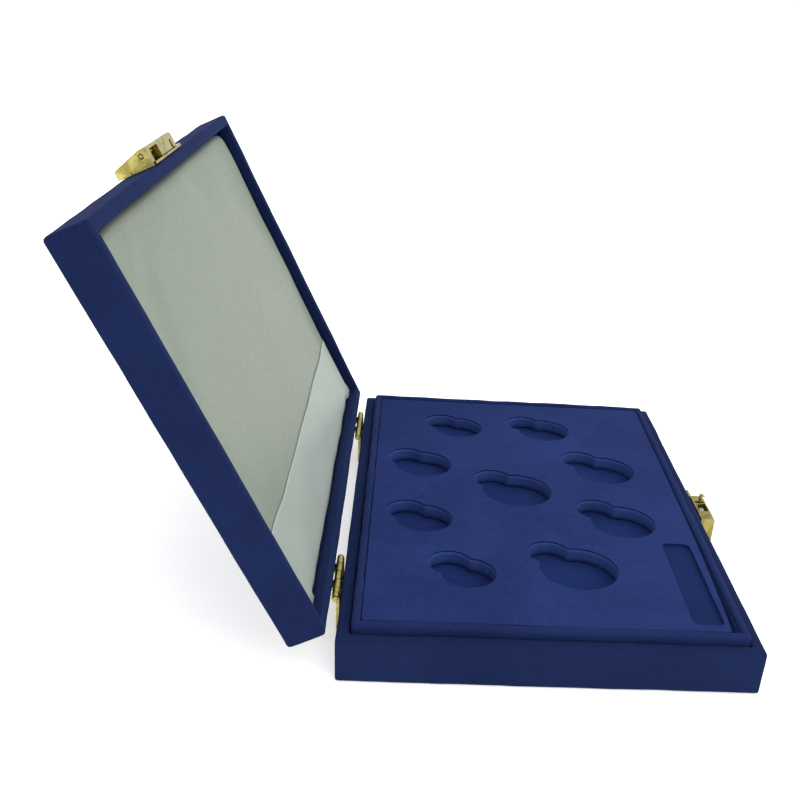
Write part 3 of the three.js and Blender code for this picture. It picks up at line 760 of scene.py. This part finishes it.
def pocket(lining):
    """The document pocket: a band of satin across the hinge side, with a turned hem on its open edge."""
    inverse = (Matrix.Scale(MM, 4) @ OPENED).inverted()
    closed = [inverse @ v.co for v in lining.data.vertices]
    tree = BVHTree.FromPolygons(closed, [list(p.vertices) for p in lining.data.polygons])
    bm = bmesh.new()
    x0, x1 = -LINING_X + 0.6, POCKET_EDGE
    columns = [x0 + (x1 - x0 - POCKET_HEM) * i / 10 for i in range(11)]
    hem_start = len(columns) + 1
    columns += [x1 - POCKET_HEM * s for s in (0.93, 0.6, 0.25, 0.06, 0.0)]
    last = len(columns) - 1
    ny = 90
    half = LINING_Y - 1.3
    front, rear = {}, {}
    for j in range(ny + 1):
        y = half * (j / ny * 2 - 1)
        for i, x in enumerate(columns):
            sway = 0.35 * noise.noise(Vector((y / 25, 0.3, 8.8))) * (i / len(columns))
            px = x + sway
            hit = tree.ray_cast(Vector((px, y, 10)), Vector((0, 0, 1)))[0]
            z = (hit.z if hit else LINING_FACE) - 0.1
            ease = 0.12 + 0.08 * noise.noise(Vector((px / 9, y / 16, 1.5)))
            thick = HEM_CLOTH if hem_start <= i < last else POCKET_CLOTH
            front[i, j] = bm.verts.new((px, y, z - ease - thick))
            rear[i, j] = bm.verts.new((px, y, z - ease * 0.5))
    add_slab(bm, front, rear, last, ny)
    piece = finish_piece("lid_pocket", bm, POCKET, "lid", ["lid_pocket_band"], True)


# ---- hardware ----
def refine(node, material, bevel=0.12, segments=2):
    """Gives a CAD metal node softened edges and a finish."""
    o = NODES[node]
    o.data.materials.clear()
    o.data.materials.append(material)
    weld = o.modifiers.new("weld", "WELD")
    weld.merge_threshold = 2e-6
    flat = o.modifiers.new("planar", "DECIMATE")
    flat.decimate_type = "DISSOLVE"
    flat.angle_limit = math.radians(1)
    if bevel:
        edge = o.modifiers.new("edges", "BEVEL")
        edge.width = bevel * MM
        edge.segments = segments
        edge.limit_method = "ANGLE"
        edge.angle_limit = math.radians(38)
        edge.use_clamp_overlap = True
        edge.harden_normals = False


SCREW = [  # radius, height along the axis
    (0.0, 0.24), (0.5, 0.21), (1.0, 0.1), (1.32, -0.02), (1.42, -0.14), (1.38, -0.26), (0.72, -0.85),
    (0.7, -3.6), (0.3, -3.95), (0.0, -4.0),
]
SCREW_SIDES = 28
SLOT_CUTTER = (1.1, 3.4, 0.34)  # depth, length, width
SLOT_CUTTER_OUT = 0.42  # its middle, out from the screw's face


def screw(node, material):
    """A countersunk slotted screw in place of its CAD solid."""
    lid = NODES[node].get("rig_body") == "lid"
    verts = [v.co / MM for v in NODES[node].data.vertices]
    if lid:
        verts = [OPENED.inverted() @ v for v in verts]
    ys = [v.y for v in verts]
    zs = [v.z for v in verts]
    xs = [v.x for v in verts]
    side = 1 if sum(xs) > 0 else -1
    face = max(xs) if side > 0 else min(xs)
    cy, cz = (min(ys) + max(ys)) / 2, (min(zs) + max(zs)) / 2
    turn = math.radians(47 * (hash_name(node) % 7) - 60)
    bm = bmesh.new()
    angles = [2 * math.pi * i / SCREW_SIDES for i in range(SCREW_SIDES)]
    rings = [[(h, r * math.cos(a), r * math.sin(a)) for a in angles] for r, h in SCREW[1:-1]]
    made = add_rings(bm, rings, False)
    for ring, (_, h) in ((made[0], SCREW[0]), (made[-1], SCREW[-1])):
        tip = bm.verts.new((h, 0, 0))
        for i in range(SCREW_SIDES):
            bm.faces.new((ring[i], ring[(i + 1) % SCREW_SIDES], tip))
    bm.transform(Matrix.Rotation(turn, 4, "X"))
    if side < 0:
        bm.transform(Matrix.Scale(-1, 4, Vector((1, 0, 0))))
        bmesh.ops.reverse_faces(bm, faces=bm.faces)
    bm.transform(Matrix.Translation((face - side * 0.05, cy, cz)))
    piece = finish_piece(node + "_turned", bm, material, "lid" if lid else "base", [node],
                         lid)
    slot_box = bmesh.new()
    bmesh.ops.create_cube(slot_box, size=1)
    size = Matrix.Diagonal((*SLOT_CUTTER, 1))
    middle = Matrix.Translation((face + side * SLOT_CUTTER_OUT, cy, cz))
    place = middle @ Matrix.Rotation(turn, 4, "X") @ size
    slot_box.transform(Matrix.Scale(MM, 4) @ (OPENED if lid else Matrix.Identity(4)) @ place)
    mesh = bpy.data.meshes.new("slot")
    slot_box.to_mesh(mesh)
    slot_box.free()
    cutter = bpy.data.objects.new("slot", mesh)
    bpy.context.scene.collection.objects.link(cutter)
    cut = piece.modifiers.new("slot", "BOOLEAN")
    cut.object = cutter
    cut.operation = "DIFFERENCE"
    cut.solver = "EXACT"
    bpy.context.view_layer.update()
    result = bpy.data.meshes.new_from_object(piece.evaluated_get(bpy.context.evaluated_depsgraph_get()))
    piece.modifiers.remove(cut)
    piece.data = result
    bpy.data.objects.remove(cutter)
    sharpen(piece, 35)


def hash_name(name):
    """A number made from a name, so that the screws are not all turned alike."""
    return sum((i + 1) * ord(c) for i, c in enumerate(name))


def sharpen(piece, angle):
    """Smooth shading with the edges past this angle left sharp."""
    bm = bmesh.new()
    bm.from_mesh(piece.data)
    bm.normal_update()
    for edge in bm.edges:
        edge.smooth = len(edge.link_faces) != 2 or edge.calc_face_angle(0) < math.radians(angle)
    for face in bm.faces:
        face.smooth = True
    bm.to_mesh(piece.data)
    bm.free()


def coil_spring():
    """The catch's coil spring, drawn as a smooth wire."""
    low, high = (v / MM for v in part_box("catch_spring"))
    wire = 0.34
    centre_y, centre_z = (low.y + high.y) / 2, (low.z + high.z) / 2 + 0.5
    radius = (high.y - low.y) / 2 - wire
    x0, x1 = low.x + wire, high.x - wire
    turns, steps, n = 3, 108, 10
    path = []
    for i in range(steps + 1):
        t = i / steps
        ease = min(1, max(0, (t * turns - 0.35) / (turns - 0.7)))
        angle = t * turns * 2 * math.pi
        path.append(Vector((x0 + ease * (x1 - x0), centre_y + radius * math.cos(angle),
                            centre_z + radius * math.sin(angle))))
    bm = bmesh.new()
    rings = []
    for i, p in enumerate(path):
        ahead = (path[min(i + 1, steps)] - path[max(i - 1, 0)]).normalized()
        out = Vector((0, p.y - centre_y, p.z - centre_z)).normalized()
        up = ahead.cross(out).normalized()
        rings.append([p + wire * (math.cos(a) * out + math.sin(a) * up)
                      for a in (2 * math.pi * k / n for k in range(n))])
    made = add_rings(bm, rings, False)
    bm.faces.new(made[0])
    bm.faces.new(list(reversed(made[-1])))
    coil = finish_piece("catch_coil", bm, STEEL, "base", ["catch_spring"])
    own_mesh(coil)


# ---- studio ----
def studio():
    """A pale floor under soft light, near white as in the photo."""
    scene = bpy.context.scene
    scene.view_settings.view_transform = "Standard"
    scene.view_settings.look = "None"
    world = bpy.data.worlds.new("studio")
    scene.world = world
    world.use_nodes = True
    background = world.node_tree.nodes["Background"]
    background.inputs["Color"].default_value = (1, 1, 1, 1)
    background.inputs["Strength"].default_value = 0.85

    look = Look("floor", 0.8, Emission_Color=(1, 1, 1, 1), Emission_Strength=0.45)
    look.colour((0.93, 0.93, 0.93))
    bm = bmesh.new()
    bmesh.ops.create_grid(bm, x_segments=1, y_segments=1, size=30)
    mesh = bpy.data.meshes.new("floor")
    bm.to_mesh(mesh)
    bm.free()
    mesh.materials.append(look.material)
    floor = bpy.data.objects.new("floor", mesh)
    floor.location.z = -0.0002
    scene.collection.objects.link(floor)

    def soft_sun(name, towards, spread, power):
        light = bpy.data.lights.new(name, "SUN")
        light.angle = math.radians(spread)
        light.energy = power
        o = bpy.data.objects.new(name, light)
        o.rotation_mode = "QUATERNION"
        o.rotation_quaternion = Vector(towards).to_track_quat("Z", "Y")
        scene.collection.objects.link(o)

    soft_sun("key", (0.6, -0.15, 1.0), 80, 1.5)
    soft_sun("fill", (-0.4, -0.8, 1.0), 90, 0.3)


def camera():
    """The photo's viewpoint, fitted to corners of the base, collar and lid and to the coin recesses."""
    data = bpy.data.cameras.new("camera")
    data.sensor_width = 36
    data.lens = 46.145
    data.shift_x, data.shift_y = -0.09, 0.115
    data.clip_start, data.clip_end = 0.01, 60
    o = bpy.data.objects.new("camera", data)
    o.location = (-0.04775, -0.34293, 0.19246)
    o.rotation_euler = [math.radians(a) for a in (62.9015, -4.0237, -2.4248)]
    bpy.context.scene.collection.objects.link(o)
    bpy.context.scene.camera = o


# ---- build ----
camera()
studio()

base_cover()
base_underside()
collar()
insert_panel()
lid_cover()
lining = puffed_lining()
pocket(lining)
coil_spring()

COVERED = ("insert_floor_board", "lid_lining_card")  # boards whose velvet side shows
for name, node in NODES.items():
    if node.hide_render:
        continue
    if "screw" in name:
        screw(name, STEEL if name.startswith("hinge") else BRASS)
    elif name.startswith("hinge") and "pin" in name:
        refine(name, BRASS, 0.25, 3)
    elif name == "clasp_cross_pin":
        refine(name, BRASS, 0.15, 2)
    elif name.startswith("catch"):
        # The catch takes the darker brass, its darkness painted shade.
        refine(name, BRASS_CATCH_SHADE)
    elif name.startswith(("hinge", "clasp")):
        refine(name, BRASS)
    else:
        node.data.materials.clear()
        # Covered boards take the darker recess velvet, its darkness painted shade.
        finish = FOAM if "foam" in name else VELVET_FLOOR_SHADE if name in COVERED else BOARD
        node.data.materials.append(finish)
